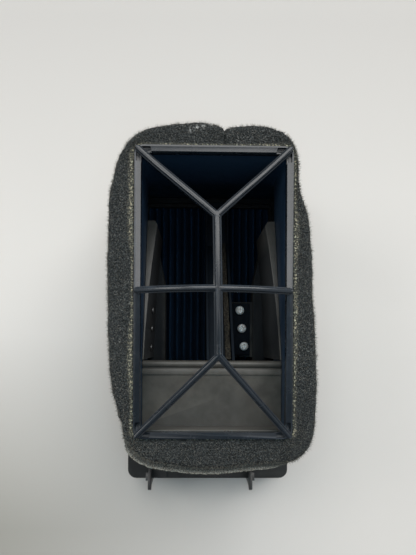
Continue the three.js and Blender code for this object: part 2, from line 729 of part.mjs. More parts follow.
const FOOT_SCREW = { head: 3.2, height: 2.4, shank: 1.4, length: 10.5 };
FOOT_SCREWS.forEach((p, i) =>
  piece(`foot_screw_${i + 1}`, panScrew(p.x, mouth.y + p.y, FOOT_PLATE.top + 0.2, FOOT_SCREW), ZINC),
);
GUIDE_RIVETS.places.forEach((y, i) => piece(`guide_rivet_${i + 1}`, guideRivet(y), ZINC));

const FLANGE_SCREW = { head: 2.75, height: 2.2, shank: 1.25, length: 17 };
FLANGE_SCREWS.forEach((p, i) =>
  piece(`flange_screw_${i + 1}`, panScrew(p.x, p.y, FLANGE_TOP + 0.2, FLANGE_SCREW), BLACK_STEEL),
);
bushPlaces().forEach((p, i) => piece(`mounting_bush_${i + 1}`, steelBush(p.x, p.y), ZINC));

piece("filter_drawer", filterDrawer(), BLACK_PLASTIC);
piece("cartridge_frame", cartridgeFrame(), CARD);
piece("filter_media", filterMedia(), MEDIA);
piece("filter_seal", filterSeal(), SEAL);
for (const [name, place] of Object.entries(CLIP_PLACES)) {
  piece(`${name}_clip_lever`, clipLever(place), BLACK_PLASTIC);
  piece(`${name}_clip_pin`, clipPin(place), ZINC);
}

// The bounding box runs from the clip levers to the collar's back; its middle is the origin.
housing.position.y = -MIDDLE_Y;

export default housing;
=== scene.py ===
"""Looks for the air filter housing: studio, camera, materials, foam, seals, pleats, screws and edges."""

import json
import math

import bpy
import numpy as np
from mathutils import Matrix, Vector, noise


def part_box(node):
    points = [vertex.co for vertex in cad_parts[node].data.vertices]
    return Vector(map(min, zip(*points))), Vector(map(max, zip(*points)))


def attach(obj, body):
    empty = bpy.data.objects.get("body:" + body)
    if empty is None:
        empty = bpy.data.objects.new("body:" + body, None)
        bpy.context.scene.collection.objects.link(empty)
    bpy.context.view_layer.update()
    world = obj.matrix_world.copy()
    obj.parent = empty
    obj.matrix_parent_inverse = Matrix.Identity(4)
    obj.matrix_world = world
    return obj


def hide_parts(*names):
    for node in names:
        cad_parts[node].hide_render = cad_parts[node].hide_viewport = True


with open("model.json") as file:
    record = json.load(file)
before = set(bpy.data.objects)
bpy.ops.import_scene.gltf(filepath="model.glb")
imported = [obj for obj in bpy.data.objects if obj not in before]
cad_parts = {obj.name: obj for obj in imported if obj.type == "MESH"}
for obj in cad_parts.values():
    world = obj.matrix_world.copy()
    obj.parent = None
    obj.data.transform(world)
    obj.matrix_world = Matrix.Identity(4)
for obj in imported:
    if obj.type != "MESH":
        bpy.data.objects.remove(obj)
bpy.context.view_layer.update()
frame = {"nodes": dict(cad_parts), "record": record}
NODES = frame["nodes"]
MM = 0.001

# ---------------------------------------------------------------- camera and studio

CAMERA_OFFSET = Vector((-0.0095, -0.0286, 0.300))  # from the middle of the mouth
CAMERA_ROLL = math.radians(0.3)
FRAME_HEIGHT = 555
FOCAL_PIXELS = 545
SENSOR_MM = 36
SHIFT_UP = 0.12
TURN_RIGHT = math.radians(1.25)
NEAREST_SEEN = 0.01
MOUTH_ABOVE_NECK = 4.3 * MM

guard_low, guard_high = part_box("inlet_guard")
neck_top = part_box("upper_housing")[1].z
MOUTH = Vector((0, (guard_low.y + guard_high.y) / 2, neck_top + MOUTH_ABOVE_NECK))


def add_camera():
    """The camera looks straight down into the mouth, from the height of a held phone."""
    data = bpy.data.cameras.new("camera")
    data.sensor_width = SENSOR_MM
    data.lens = SENSOR_MM * FOCAL_PIXELS / FRAME_HEIGHT
    data.shift_y = SHIFT_UP
    data.clip_start = NEAREST_SEEN
    camera = bpy.data.objects.new("camera", data)
    bpy.context.collection.objects.link(camera)
    camera.location = MOUTH + CAMERA_OFFSET
    camera.rotation_euler = (0, -TURN_RIGHT, CAMERA_ROLL)
    bpy.context.scene.camera = camera


def area_light(name, place, aim, size, watts, colour, shines=True):
    data = bpy.data.lights.new(name, "AREA")
    data.shape = "RECTANGLE"
    data.size, data.size_y = size
    data.energy = watts
    data.color = colour
    lamp = bpy.data.objects.new(name, data)
    bpy.context.collection.objects.link(lamp)
    lamp.location = place
    lamp.rotation_euler = (Vector(aim) - Vector(place)).to_track_quat("-Z", "Y").to_euler()
    lamp.visible_glossy = shines


# Black cards out of the camera's sight: the phone that takes the picture, and the person behind it.
CARDS = {
    "phone_card": {"x": (-0.050, 0.072), "y": (-0.195, 0.008), "z": 0.462},
    "person_card": {"x": (-0.45, 0.36), "y": (-1.25, -0.125), "z": 0.95},
}
WARM_WHITE = (1.0, 0.98, 0.95)
SCREEN_BLUE = (0.35, 0.78, 1.0)
# Softboxes: where they hang, their size, their power, their colour, and whether they give reflections.
SOFTBOXES = {
    "ceiling_key": ((0.25, 1.80, 2.60), (3.0, 2.3), 80, WARM_WHITE, True),
    "ceiling_fill": ((0, -0.15, 2.80), (2.2, 0.6), 8, WARM_WHITE, True),
    "side_key": ((1.05, 0.80, 1.15), (0.55, 0.55), 5.5, WARM_WHITE, True),
    "left_fill": ((-1.15, 0.45, 1.35), (0.7, 0.7), 7, WARM_WHITE, True),
    "screen_glow": ((-0.005, -0.012, 0.445), (0.07, 0.05), 0.16, SCREEN_BLUE, False),
}
AIM = (0, 0, 0.1)
FLOOR_HALF = 3.0
FLOOR_Z = -0.5 * MM
ROOM_COLOUR = (0.88, 0.94, 1.0, 1)
ROOM_STRENGTH = 0.42


def plane(name, x, y, z, material):
    mesh = bpy.data.meshes.new(name)
    corners = [(x[0], y[0], z), (x[1], y[0], z), (x[1], y[1], z), (x[0], y[1], z)]
    mesh.from_pydata(corners, [], [(0, 1, 2, 3)])
    mesh.materials.append(material)
    sheet = bpy.data.objects.new(name, mesh)
    bpy.context.collection.objects.link(sheet)
    return sheet


def add_studio():
    """A pale floor, the two black cards, the softboxes, and an even room round them."""
    span = (-FLOOR_HALF, FLOOR_HALF)
    plane("floor", span, span, FLOOR_Z, floor_paint())
    black = Paint("card_paint", (0.01, 0.01, 0.01), 1.0).material
    for name, card in CARDS.items():
        plane(name, card["x"], card["y"], card["z"], black).visible_camera = False
    for name, (place, size, watts, colour, shines) in SOFTBOXES.items():
        area_light(name, place, AIM, size, watts, colour, shines)
    world = bpy.data.worlds.new("studio")
    world.use_nodes = True
    background = world.node_tree.nodes["Background"]
    background.inputs["Color"].default_value = ROOM_COLOUR
    background.inputs["Strength"].default_value = ROOM_STRENGTH
    bpy.context.scene.world = world
    bpy.context.scene.view_settings.view_transform = "Standard"


# ---------------------------------------------------------------- material helpers

UPWARD = (0.35, 0.95)  # the normal's upright part, from a steep wall to a nearly level face
# The normal dotted with the way out from the mouth's axis: from a wall seen edge-on to one that faces it.
INWARD = (-2 * MM, -9 * MM)
POINTED = (0.52, 0.60)  # Pointiness, from a flat face to an outside edge


class Paint:
    """A node material round one Principled shader."""

    def __init__(self, name, colour, roughness, metallic=0.0):
        self.material = bpy.data.materials.new(name)
        self.material.use_nodes = True
        self.nodes = self.material.node_tree.nodes
        self.links = self.material.node_tree.links
        self.shader = self.nodes["Principled BSDF"]
        self.set("Base Color", (*colour, 1))
        self.set("Roughness", roughness)
        self.set("Metallic", metallic)
        self.coordinates = self.nodes.new("ShaderNodeNewGeometry").outputs["Position"]
        self.normal = None

    def set(self, socket, value):
        self.shader.inputs[socket].default_value = value

    def link(self, source, socket):
        self.links.new(source, socket)

    def noise(self, scale, detail=3.0, roughness=0.55, stretch=(1, 1, 1)):
        node = self.nodes.new("ShaderNodeTexNoise")
        node.inputs["Scale"].default_value = scale
        node.inputs["Detail"].default_value = detail
        node.inputs["Roughness"].default_value = roughness
        self.link(self.stretched(stretch), node.inputs["Vector"])
        return node.outputs["Fac"]

    def voronoi(self, scale):
        node = self.nodes.new("ShaderNodeTexVoronoi")
        node.inputs["Scale"].default_value = scale
        self.link(self.coordinates, node.inputs["Vector"])
        return node.outputs["Distance"]

    def stretched(self, stretch):
        if tuple(stretch) == (1, 1, 1):
            return self.coordinates
        node = self.nodes.new("ShaderNodeMapping")
        node.inputs["Scale"].default_value = stretch
        self.link(self.coordinates, node.inputs["Vector"])
        return node.outputs["Vector"]

    def ramp(self, source, low, high, start, end):
        """Maps source from low..high to start..end, clamped."""
        node = self.nodes.new("ShaderNodeMapRange")
        for socket, value in (("From Min", low), ("From Max", high), ("To Min", start), ("To Max", end)):
            node.inputs[socket].default_value = value
        self.link(source, node.inputs["Value"])
        return node.outputs["Result"]

    def math(self, kind, a, b):
        node = self.nodes.new("ShaderNodeMath")
        node.operation = kind
        for socket, value in zip(node.inputs, (a, b)):
            if isinstance(value, (int, float)):
                socket.default_value = value
            else:
                self.link(value, socket)
        return node.outputs["Value"]

    def mix(self, factor, a, b):
        node = self.nodes.new("ShaderNodeMix")
        node.data_type = "RGBA"
        for socket, value in ((node.inputs["A"], a), (node.inputs["B"], b)):
            if isinstance(value, tuple):
                socket.default_value = (*value, 1)
            else:
                self.link(value, socket)
        self.link(factor, node.inputs["Factor"])
        return node.outputs["Result"]

    def facing_up(self):
        """1 on faces that look up, 0 on walls and undersides."""
        geometry = self.nodes.new("ShaderNodeNewGeometry")
        split = self.nodes.new("ShaderNodeSeparateXYZ")
        self.link(geometry.outputs["Normal"], split.inputs["Vector"])
        return self.ramp(split.outputs["Z"], *UPWARD, 0, 1)

    def facing_axis(self, middle):
        """1 on walls that face the upright axis through the middle, 0 on those that face away from it."""
        geometry = self.nodes.new("ShaderNodeNewGeometry")
        away = self.nodes.new("ShaderNodeVectorMath")
        away.operation = "MULTIPLY_ADD"
        away.inputs[1].default_value = (1, 1, 0)
        away.inputs[2].default_value = (-middle.x, -middle.y, 0)
        self.link(self.coordinates, away.inputs[0])
        outward = self.nodes.new("ShaderNodeVectorMath")
        outward.operation = "DOT_PRODUCT"
        self.link(geometry.outputs["Normal"], outward.inputs[0])
        self.link(away.outputs["Vector"], outward.inputs[1])
        return self.ramp(outward.outputs["Value"], *INWARD, 0, 1)

    def attribute(self, name):
        node = self.nodes.new("ShaderNodeAttribute")
        node.attribute_name = name
        return node.outputs["Fac"]

    def along(self, axis, low, high, start=0, end=1):
        """start below low on one of the axes, end above high."""
        split = self.nodes.new("ShaderNodeSeparateXYZ")
        self.link(self.coordinates, split.inputs["Vector"])
        return self.ramp(split.outputs[axis], low, high, start, end)

    def edges(self):
        """1 on outside edges, from how pointed the mesh is there."""
        geometry = self.nodes.new("ShaderNodeNewGeometry")
        return self.ramp(geometry.outputs["Pointiness"], *POINTED, 0, 1)

    def colour(self, source):
        self.link(source, self.shader.inputs["Base Color"])

    def roughness(self, source):
        self.link(source, self.shader.inputs["Roughness"])

    def bump(self, height, strength, distance):
        node = self.nodes.new("ShaderNodeBump")
        node.inputs["Strength"].default_value = strength
        node.inputs["Distance"].default_value = distance
        self.link(height, node.inputs["Height"])
        if self.normal:
            self.link(self.normal, node.inputs["Normal"])
        self.normal = node.outputs["Normal"]
        self.link(self.normal, self.shader.inputs["Normal"])


def floor_paint():
    """A pale floor with painted shade: darker behind the part, and a painted shadow at its front left."""
    paint = Paint("floor_paint", (0.70, 0.68, 0.65), 0.75)
    body = paint.mix(paint.noise(6, 2), (0.65, 0.63, 0.60), (0.68, 0.66, 0.63))
    # Painted shade: darker towards the back, to hold down the key light there.
    body = paint.mix(paint.along("Y", 0.02, 0.26), body, (0.50, 0.487, 0.467))
    # Painted shadow of the part at the front left.
    front = paint.along("Y", -0.16, 0.0, 1, 0)
    left = paint.along("X", -0.17, 0.04, 1, 0)
    body = paint.mix(paint.math("MULTIPLY", front, left), body, (0.36, 0.35, 0.315))
    paint.colour(body)
    return paint.material


# Painted light: a lighter grey for the upstand near the rim, which catches light from behind.
UPSTAND_PAINTED_LIGHT = (0.082, 0.079, 0.072)
DUST = (0.10, 0.10, 0.095)
# Heights between which the grey mouldings change from the painted shade of the neck's depth to their own
# colour.
LEDGE_BAND = (78 * MM, 100 * MM)
SHELF_BAND = (121 * MM, 125 * MM)
UPSTAND_LIGHT_BAND = (129.6 * MM, 130.6 * MM)
LEDGE_LIGHT = 0.6
LOW_ROUGHNESS = 0.9


def lit_share(paint):
    """Painted shade share: 1 keeps the own colour on what stands high in the neck, less on ledges further
    down, 0 gives painted shade on walls and in the depth.
    """
    ledges = paint.math("MULTIPLY", paint.facing_up(), paint.along("Z", *LEDGE_BAND, 0, LEDGE_LIGHT))
    return paint.math("MAXIMUM", ledges, paint.along("Z", *SHELF_BAND))


def settle_dust(paint, body, open_to_dust, dust_share):
    """Dust in clouds and single specks on what lies open to it."""
    clouds = paint.ramp(paint.noise(260, 5), 0.45, 0.75, 0, dust_share)
    body = paint.mix(paint.math("MULTIPLY", open_to_dust, clouds), body, DUST)
    specks = paint.ramp(paint.noise(900, 2), 0.74, 0.80, 0, min(0.5, 12 * dust_share))
    return paint.mix(paint.math("MULTIPLY", open_to_dust, specks), body, DUST)


def moulded_plastic(
    name,
    dark,
    light,
    rough,
    grain=0.25,
    dust_share=0.04,
    inner=None,
    streaks=0.0,
    low=None,
    wear=0.35,
    shine=0.5,
):
    """Moulded plastic: fine spark-eroded grain, faint flow marks, dust on what faces up, rubbed edges.

    inner is a painted blue cast on walls that face the mouth's axis, low the painted shade colour in the
    depth of the neck.
    """
    paint = Paint(name, dark, rough)
    body = paint.mix(paint.ramp(paint.noise(45, 4), 0.35, 0.7, 0, 1), dark, light)
    polish = paint.ramp(paint.noise(140, 3), 0.3, 0.7, rough - 0.03, rough + 0.04)
    open_to_dust = paint.facing_up()
    if inner:
        # Painted blue cast on the walls that face the mouth's axis.
        body = paint.mix(paint.facing_axis(MOUTH), body, inner)
    if low:
        # Painted shade: walls and the depth of the neck take the low colour where little light reaches.
        lit = lit_share(paint)
        body = paint.mix(lit, low, body)
        # Painted light: the grey above this height is lightened for the light it catches from behind.
        body = paint.mix(paint.along("Z", *UPSTAND_LIGHT_BAND, 0, 0.8), body, UPSTAND_PAINTED_LIGHT)
        open_to_dust = paint.math("MULTIPLY", open_to_dust, lit)
        dulled = paint.ramp(lit, 0, LEDGE_LIGHT, LOW_ROUGHNESS, rough)
        polish = paint.math("MAXIMUM", polish, dulled)
    if streaks:
        wiped = paint.ramp(paint.noise(60, 4, 0.6, (1, 0.12, 0.12)), 0.48, 0.72, 0, streaks)
        body = paint.mix(wiped, body, DUST)
    body = settle_dust(paint, body, open_to_dust, dust_share)
    wear_and_lip_light = paint.math("MULTIPLY", paint.edges(), paint.ramp(paint.noise(120, 3), 0.3, 0.7, 0.05, wear))
    paint.colour(paint.mix(wear_and_lip_light, body, tuple(min(3.2 * c, 1) for c in light)))
    paint.roughness(polish)
    paint.set("Specular IOR Level", shine)
    paint.bump(paint.noise(2600, 2), grain, 0.06 * MM)
    return paint.material


def plated_metal(name, dark, light, rough, metallic=1.0):
    """Plated steel: cloudy plating, fine turning scratches, darker grime, brighter rubbed edges."""
    paint = Paint(name, dark, rough, metallic)
    body = paint.mix(paint.ramp(paint.noise(240, 4), 0.35, 0.65, 0, 1), dark, light)
    grime = paint.ramp(paint.noise(700, 4), 0.60, 0.80, 0, 0.4)
    body = paint.mix(grime, body, tuple(0.35 * c for c in dark))
    paint.colour(paint.mix(paint.edges(), body, tuple(min(1.4 * c, 1) for c in light)))
    paint.roughness(paint.ramp(paint.noise(900, 3), 0.3, 0.7, rough - 0.08, rough + 0.15))
    paint.bump(paint.noise(1500, 3, 0.6, (1, 1, 9)), 0.25, 0.04 * MM)
    return paint.material


def sealing_rubber(name, dark, light):
    """Soft sealing rubber: matt, powdery, with a fine skin."""
    paint = Paint(name, dark, 0.8)
    body = paint.mix(paint.ramp(paint.noise(90, 4), 0.35, 0.7, 0, 1), dark, light)
    bloom = paint.ramp(paint.noise(420, 4), 0.5, 0.8, 0, 0.06)
    paint.colour(paint.mix(bloom, body, DUST))
    paint.roughness(paint.ramp(paint.noise(300, 3), 0.3, 0.7, 0.7, 0.92))
    paint.set("Specular IOR Level", 0.3)
    paint.bump(paint.noise(1800, 3), 0.4, 0.1 * MM)
    return paint.material


def fibre_board(name, dark, light, fibre, depth, crest=None):
    """Pressed fibres: short strands in two directions, loose ends, no shine, and painted shade on the crests
    where asked.
    """
    paint = Paint(name, dark, 0.95)
    lengthwise = paint.noise(fibre, 4, 0.65, (1, 0.16, 1))
    crosswise = paint.noise(fibre, 4, 0.65, (0.16, 1, 0.5))
    strands = paint.math("MAXIMUM", lengthwise, crosswise)
    body = paint.mix(paint.ramp(strands, 0.45, 0.75, 0, 1), dark, light)
    if crest:
        # Painted shade: the crests are darkened to hold down the light that falls on them.
        body = paint.mix(paint.along("Z", crest - 3 * MM, crest, 0, 0.7), body, tuple(0.6 * c for c in dark))
    loose = paint.ramp(paint.noise(2.2 * fibre, 2), 0.68, 0.76, 0, 0.6)
    paint.colour(paint.mix(loose, body, tuple(2.2 * c for c in light)))
    paint.set("Specular IOR Level", 0.2)
    paint.bump(strands, 0.6, depth)
    return paint.material


LINT = (0.42, 0.42, 0.40)
# Painted rim light: the lighter tan that the torn walls at the foam's edge show against the light.
WHISKER_RIM_LIGHT = (0.17, 0.163, 0.14)
# Painted light on the collar's front lip, which the lamps leave in shade.
LIP_LIGHT = (0.52, 0.485, 0.41)


def foam_paint(name, pore, strut, dust, cell, tan=None):
    """Open-cell foam: dark pores between lighter struts, dust caught on top, and where asked a tan edge,
    lint, painted light on the front lip and painted rim light on torn walls.
    """
    paint = Paint(name, strut, 0.95)
    cells = paint.ramp(paint.voronoi(1 / cell), 0.12, 0.62, 0, 1)
    grains = paint.ramp(paint.noise(1.6 / cell, 2), 0.36, 0.66, 0, 1)
    body = paint.mix(paint.math("MULTIPLY", cells, grains), pore, strut)
    specks = paint.ramp(paint.noise(1.1 / cell, 1), 0.60, 0.72, 0, 0.75)
    patches = paint.ramp(paint.noise(70, 4), 0.38, 0.68, 0.25, 1)
    body = paint.mix(paint.math("MULTIPLY", specks, patches), body, dust)
    if tan:
        crumbs = paint.ramp(paint.noise(0.9 / cell, 2), 0.52, 0.62, 0.08, 1)
        body = paint.mix(paint.math("MULTIPLY", paint.attribute("inner_edge"), crumbs), body, tan)
        lint = paint.ramp(paint.noise(0.7 / cell, 3), 0.50, 0.60, 0, 0.8)
        body = paint.mix(paint.math("MULTIPLY", paint.attribute("lint"), lint), body, LINT)
        # Painted light: the front lip is lightened for light from the front that no lamp gives.
        wear_and_lip_light = paint.math("MULTIPLY", paint.attribute("lip_light"), paint.math("ADD", grains, 0.25))
        body = paint.mix(wear_and_lip_light, body, LIP_LIGHT)
        # Painted rim light on the torn walls.
        body = paint.mix(paint.attribute("rim_light"), body, WHISKER_RIM_LIGHT)
    paint.colour(body)
    paint.set("Specular IOR Level", 0.15)
    paint.bump(cells, 0.35, cell * 0.4)
    return paint.material


MEDIA_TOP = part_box("filter_media")[1].z
BLACK, BLACK_LIGHT = (0.013, 0.014, 0.014), (0.021, 0.022, 0.022)
# Painted light: the blue cast of the dim light on the neck's inner walls, not a colour of the plastic.
NECK_BLUE_CAST = (0.015, 0.034, 0.064)

PLASTICS = {
    "black_plastic": {"dark": BLACK, "light": BLACK_LIGHT, "rough": 0.42},
    # Black plastic with a painted blue cast on its inner walls.
    "duct_plastic": {"dark": BLACK, "light": BLACK_LIGHT, "rough": 0.42, "inner": NECK_BLUE_CAST},
    "guard_plastic": {
        "dark": (0.010, 0.0135, 0.0175),
        "light": (0.015, 0.019, 0.0245),
        "rough": 0.25,
        "grain": 0.15,
        "dust_share": 0.05,
    },
    "grey_plastic": {
        "dark": (0.036, 0.034, 0.030),
        "light": (0.049, 0.046, 0.040),
        "rough": 0.42,
        "dust_share": 0.2,
        "streaks": 0.18,
        # Painted shade for the depth of the neck and the walls below the ledges.
        "low": (0.004, 0.007, 0.010),
    },
    # Painted shade: darker copies of the black plastic for parts deep in the housing.
    "divider_plastic": {
        "dark": (0.002, 0.005, 0.009),
        "light": (0.004, 0.008, 0.013),
        "rough": 0.7,
        "dust_share": 0.004,
        "wear": 0.05,
        "shine": 0.15,
    },
    "bay_plastic": {
        "dark": (0.003, 0.005, 0.007),
        "light": (0.005, 0.007, 0.009),
        "rough": 0.68,
        "dust_share": 0.003,
        "wear": 0.06,
        "shine": 0.2,
    },
}
FOAMS = {
    "collar_foam": {
        "pore": (0.006, 0.007, 0.007),
        "strut": (0.058, 0.062, 0.062),
        "dust": (0.195, 0.19, 0.175),
        "cell": 0.9 * MM,
        "tan": (0.40, 0.37, 0.27),
    },
    "strip_foam": {
        "pore": (0.006, 0.006, 0.006),
        "strut": (0.045, 0.040, 0.030),
        "dust": (0.16, 0.13, 0.085),
        "cell": 1.1 * MM,
    },
}
BOARDS = {
    "filter_card": {
        "dark": (0.012, 0.014, 0.016),
        "light": (0.024, 0.026, 0.028),
        "fibre": 1100,
        "depth": 0.08 * MM,
    },
    "filter_media": {
        # Partly painted light: the media's own dark colour carries a painted blue cast taken from the shaded
        # depth.
        "dark": (0.008, 0.026, 0.055),
        "light": (0.010, 0.031, 0.065),
        "fibre": 1700,
        "depth": 0.15 * MM,
        "crest": MEDIA_TOP,
    },
}
METALS = {
    "zinc": {"dark": (0.55, 0.56, 0.55), "light": (0.72, 0.72, 0.70), "rough": 0.42},
    # Lit and shaded copies of zinc: the foot screws whitened as a painted highlight, the guide rivets
    # darkened as painted shade.
    "white_zinc": {"dark": (0.80, 0.81, 0.80), "light": (0.92, 0.92, 0.90), "rough": 0.5, "metallic": 0.35},
    "dull_zinc": {"dark": (0.10, 0.105, 0.11), "light": (0.17, 0.175, 0.18), "rough": 0.5},
    "black_steel": {"dark": (0.045, 0.047, 0.050), "light": (0.075, 0.077, 0.080), "rough": 0.38},
}
RUBBERS = {"seal_rubber": {"dark": (0.006, 0.006, 0.007), "light": (0.011, 0.011, 0.012)}}
FAMILIES = (
    (moulded_plastic, PLASTICS),
    (foam_paint, FOAMS),
    (sealing_rubber, RUBBERS),
    (fibre_board, BOARDS),
    (plated_metal, METALS),
)
MATERIALS = {name: make(name, **look) for make, looks in FAMILIES for name, look in looks.items()}


# ---------------------------------------------------------------- foam collar

STATIONS = 660
RIM_GAP = 0.3 * MM
CORNER = 5.3 * MM
SAME_HEIGHT = 0.1 * MM
OUTER_ROUND = 5.0 * MM
INNER_ROUND = 1.2 * MM
# Steps along the straight stretches of the strip's section, and round its corners.
NECK_STEPS, TOP_STEPS, SIDE_STEPS, UNDER_STEPS = 4, 16, 26, 6
INNER_ARC, TOP_ARC, LOW_ARC = 3, 8, 6


def collar_outline():
    """The collar's outer edge from the CAD solid, as points round the mouth's middle."""
    points = np.array([v.co for v in NODES["inlet_foam_collar"].data.vertices])
    top = points[points[:, 2] > points[:, 2].max() - SAME_HEIGHT][:, :2] - np.array(MOUTH.xy)
    half = mouth_half() + 2 * RIM_GAP
    outer = top[(abs(top[:, 0]) > half[0]) | (abs(top[:, 1]) > half[1])]
    outer = np.unique(outer.round(6), axis=0)
    outer = outer[np.argsort(np.arctan2(outer[:, 1], outer[:, 0]))]
    closed = np.vstack([outer, outer[:1]])
    along = np.concatenate([[0], np.cumsum(np.hypot(*np.diff(closed, axis=0).T))])
    places = np.linspace(0, along[-1], STATIONS, endpoint=False)
    return np.stack([np.interp(places, along, closed[:, i]) for i in (0, 1)], axis=1)


def mouth_half():
    return np.array([guard_high.x - guard_low.x, guard_high.y - guard_low.y]) / 2


def smooth_noise(points, scale, seed):
    shift = Vector((seed * 17.3, seed * 5.1, seed * 9.7))
    return np.array([noise.noise(Vector(p) * scale + shift) for p in points])


def grid_faces(rows, columns):
    """Quads over a grid that closes both ways."""
    i, j = np.meshgrid(np.arange(rows), np.arange(columns), indexing="ij")
    corner = lambda a, b: (a % rows) * columns + (b % columns)
    quads = np.stack([corner(i, j), corner(i + 1, j), corner(i + 1, j + 1), corner(i, j + 1)], axis=-1)
    return quads.reshape(-1, 4)


def collar_section(widths, low, high):
    """Points round the strip's section for every station: distance from the neck and height."""
    outer_radius = np.minimum(OUTER_ROUND, 0.45 * widths)
    inner_radius = np.minimum(INNER_ROUND, 0.3 * widths)
    level = widths - inner_radius - outer_radius
    arc = lambda a0, a1, n: [math.radians(a0 + (a1 - a0) * k / n) for k in range(n)]
    share = lambda n: [k / n for k in range(n)]
    columns = []
    height = high - low
    for t in share(NECK_STEPS):  # the face against the neck, upwards
        columns.append((0 * widths, low + inner_radius + (height - 2 * inner_radius) * t))
    for a in arc(180, 90, INNER_ARC):
        columns.append((inner_radius * (1 + math.cos(a)), high - inner_radius * (1 - math.sin(a))))
    for t in share(TOP_STEPS):  # the top
        columns.append((inner_radius + level * t, high + 0 * widths))
    for a in arc(90, 0, TOP_ARC):
        columns.append((widths - outer_radius * (1 - math.cos(a)), high - outer_radius * (1 - math.sin(a))))
    for t in share(SIDE_STEPS):  # the outer side, downwards
        columns.append((widths, high - outer_radius - (height - 2 * outer_radius) * t))
    for a in arc(0, -90, LOW_ARC):
        columns.append((widths - outer_radius * (1 - math.cos(a)), low + outer_radius * (1 + math.sin(a))))
    for t in share(UNDER_STEPS):  # the underside
        columns.append((widths - outer_radius - level * t, low + 0 * widths))
    for a in arc(-90, -180, INNER_ARC):
        columns.append((inner_radius * (1 + math.cos(a)), low + inner_radius * (1 + math.sin(a))))
    return columns


def smoothstep(low, high, x):
    t = np.clip((x - low) / (high - low), 0, 1)
    return t * t * (3 - 2 * t)


LIP_UP = 0.60  # share of the strip's height where the front's lip stands out furthest
LIP_OUT, LIP_STEP, LIP_ROLL = 1.7 * MM, 3.3 * MM, 0.9 * MM
SIDE_LEAN = 0.4 * MM
FRONT_FACING = (0.35, 0.85)  # how squarely a place on the outline faces the front, from no lip to all of it
LIP_ENDS = (52 * MM, 30 * MM)  # where the lip starts and is whole, right of the mouth's middle
LIP_LIGHT_FROM = (0.42, 0.58)  # shares of the height over which the painted light on the lip starts
LIP_LIGHT_EDGE = 0.06


def collar_lean(share_up, front):
    """How far the outer side leans out at a share of its height; at the front a lip stands out."""
    lip = 1 - 0.8 * smoothstep(LIP_UP, 0.1, share_up)
    step = smoothstep(LIP_UP + 0.015, LIP_UP + 0.075, share_up)
    roll = LIP_ROLL * np.exp(-(((share_up - LIP_UP - 0.2) / 0.09) ** 2))
    out = LIP_OUT * lip * (1 - step) - LIP_STEP * step + roll * step
    return SIDE_LEAN * (0.5 - share_up) + front * out


def collar_rings():
    """The skin before it is roughened: a closed grid, each point's distance from the neck, its share of
    painted light on the lip.
    """
    outline = collar_outline()
    core = mouth_half() + RIM_GAP - CORNER
    centres = np.clip(outline, -core, core)
    spread = outline - centres
    directions = spread / np.hypot(*spread.T)[:, None]
    inner = centres + directions * CORNER
    widths = np.hypot(*(outline - inner).T)
    low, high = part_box("inlet_foam_collar")
    columns = collar_section(widths, low.z, high.z)
    front = smoothstep(*FRONT_FACING, -directions[:, 1]) * smoothstep(*LIP_ENDS, outline[:, 0])
    rings = []
    for across, up in columns:
        lean = collar_lean((up - low.z) / (high.z - low.z), front)
        reach = across + lean * np.clip(across / widths, 0, 1) ** 2
        flat = inner + directions * reach[:, None] + np.array(MOUTH.xy)
        rings.append(np.column_stack([flat, up]))
    share_up = np.stack([(up - low.z) / (high.z - low.z) for _, up in columns], axis=1)
    # Painted light on the front lip, in a band below its step.
    lip_light = front[:, None] * smoothstep(*LIP_LIGHT_FROM, share_up)
    lip_light = lip_light * smoothstep(LIP_UP + LIP_LIGHT_EDGE, LIP_UP, share_up)
    return np.stack(rings, axis=1), np.stack([c[0] for c in columns], axis=1), lip_light


COLLAR_SEED, RAGGED_SEED, STRIP_SEED = 7, 3, 11
HELD_BY_NECK = 1.5 * MM  # the skin lies still where it touches the neck and roughens over this distance
JITTER = 0.08 * MM


def build_collar():
    """The foam strip round the neck: rounded, dented, and rough at the size of its cells."""
    points, across, lip_light = collar_rings()
    flat = points.reshape(-1, 3)
    normals = grid_normals(points).reshape(-1, 3)
    free = np.clip(across / HELD_BY_NECK, 0, 1).reshape(-1)
    rng = np.random.default_rng(COLLAR_SEED)
    sideways = rng.normal(0, JITTER, flat.shape)
    torn_away = FRINGE_DEPTH * smoothstep(0.9, 0.3, abs(normals[:, 2]))
    outwards = (collar_roughness(flat) - torn_away) * free
    surface = flat + normals * outwards[:, None] + sideways * free[:, None]
    spikes, spike_faces = whiskers(surface, normals, free, rng)
    faces = grid_faces(*across.shape).tolist() + (spike_faces + len(surface)).tolist()
    collar = new_piece("foam_collar", np.vstack([surface, spikes]), faces, "collar_foam", "housing")
    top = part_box("inlet_foam_collar")[1].z
    band = tan_band(flat, across.reshape(-1)) * up_share(points, top)
    none = np.zeros(len(spikes))
    set_attribute(collar, "inner_edge", np.concatenate([band, none]))
    set_attribute(collar, "lint", np.concatenate([lint_share(flat), none]))
    set_attribute(collar, "lip_light", np.concatenate([lip_light.reshape(-1), none]))
    # Painted rim light on the torn walls only.
    set_attribute(collar, "rim_light", np.concatenate([np.zeros(len(surface)), none + RIM_LIGHT_SHARE]))
    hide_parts("inlet_foam_collar")


def new_piece(name, points, faces, slot, body, finish=None):
    """A mesh piece with the material of its finish, else of its slot, under its body."""
    mesh = bpy.data.meshes.new(name)
    mesh.from_pydata(np.asarray(points).tolist(), [], faces)
    mesh.update()
    mesh.materials.append(MATERIALS[finish or slot])
    piece = bpy.data.objects.new(name, mesh)
    bpy.context.collection.objects.link(piece)
    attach(piece, body)
    return piece


def set_attribute(piece, name, values):
    layer = piece.data.attributes.new(name, "FLOAT", "POINT")
    layer.data.foreach_set("value", values.astype(np.float32))


TAN_WIDTH = 3.0 * MM
BUTT_JOINT = Vector((6 * MM, 93.4 * MM))  # where the strip's ends meet, from the mouth's middle
